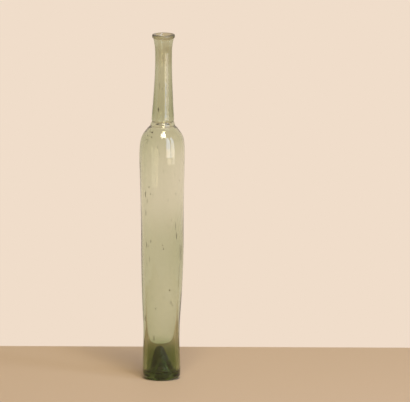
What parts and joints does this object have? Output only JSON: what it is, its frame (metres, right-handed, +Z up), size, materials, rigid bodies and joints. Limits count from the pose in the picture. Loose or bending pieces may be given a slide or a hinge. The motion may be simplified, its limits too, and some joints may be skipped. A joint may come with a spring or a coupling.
{
  "type": "glass vial",
  "caption": "Tall narrow free-blown glass vial with a long flared neck, a ring of glass round its mouth and a high conical kick-up under its base.",
  "frame": {"origin": "on the surface that the vial stands on, under the middle of its widest ring, which is the bottom centre of its bounding box", "axes": "+Z up along the vial, from its base to its mouth; -X is the side towards which the kick-up's tip leans"},
  "size_m": [0.0326, 0.0326, 0.248],
  "materials": {
    "pale_green_glass": "fire-polished, with faint vertical ripples and a few specks",
    "lip_glass": "fire-polished and tooled",
    "broken_glass": "broken edge, frosted"
  },
  "bodies": {
    "root": {"blown_vial": "pale_green_glass", "lip_ring": "lip_glass", "pontil_scar": "broken_glass"}
  },
  "joints": []
}
